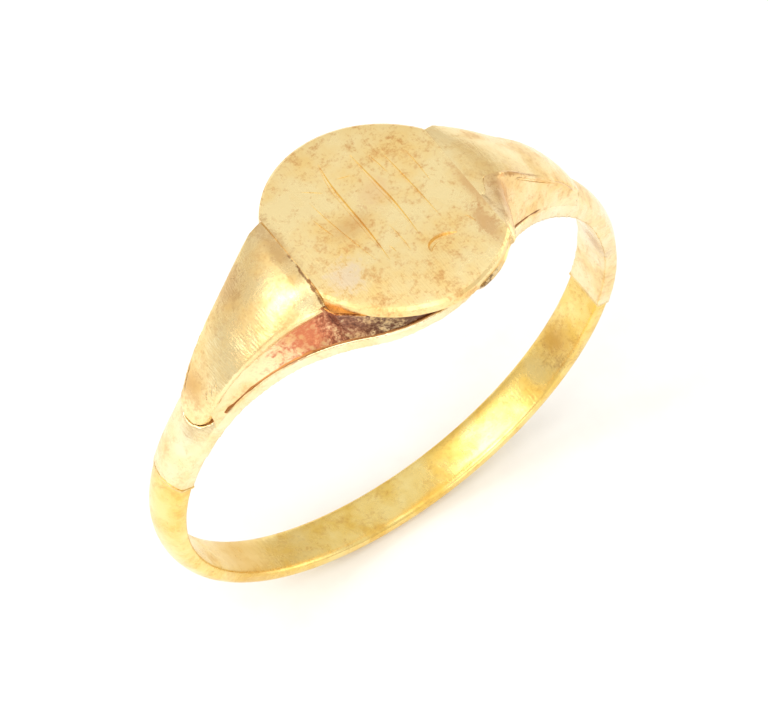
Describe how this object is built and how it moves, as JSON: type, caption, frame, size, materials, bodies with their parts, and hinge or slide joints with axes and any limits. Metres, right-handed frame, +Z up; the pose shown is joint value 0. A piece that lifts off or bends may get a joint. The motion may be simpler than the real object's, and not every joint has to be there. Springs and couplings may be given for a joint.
{
  "type": "signet ring",
  "caption": "Gold signet ring with a flat oval seal face, straight-sided shoulders with applied leaves, and a narrow D-section shank.",
  "frame": {"origin": "centre of the finger bore, half way along the head", "axes": "+Y along the finger through the bore, +Z up through the seal face, +X across the head towards the right shoulder"},
  "size_m": [0.0192, 0.0078, 0.0201],
  "materials": {
    "band_gold": "worn polish",
    "shank_gold": "worn polish",
    "face_gold": "satin, finely scratched",
    "leaf_gold": "worn polish",
    "gallery_gold": "tarnished satin",
    "gold_solder": "satin",
    "seam_solder": "satin"
  },
  "bodies": {
    "root": {"upper_band": "band_gold", "lower_shank": "shank_gold", "gallery": "gallery_gold", "table_plate": "face_gold", "left_shoulder_leaf": "leaf_gold", "right_shoulder_leaf": "leaf_gold", "table_solder": "gold_solder", "gallery_solder": "gold_solder", "left_leaf_solder": "gold_solder", "right_leaf_solder": "gold_solder", "left_sizing_solder": "seam_solder", "right_sizing_solder": "seam_solder"}
  },
  "joints": []
}
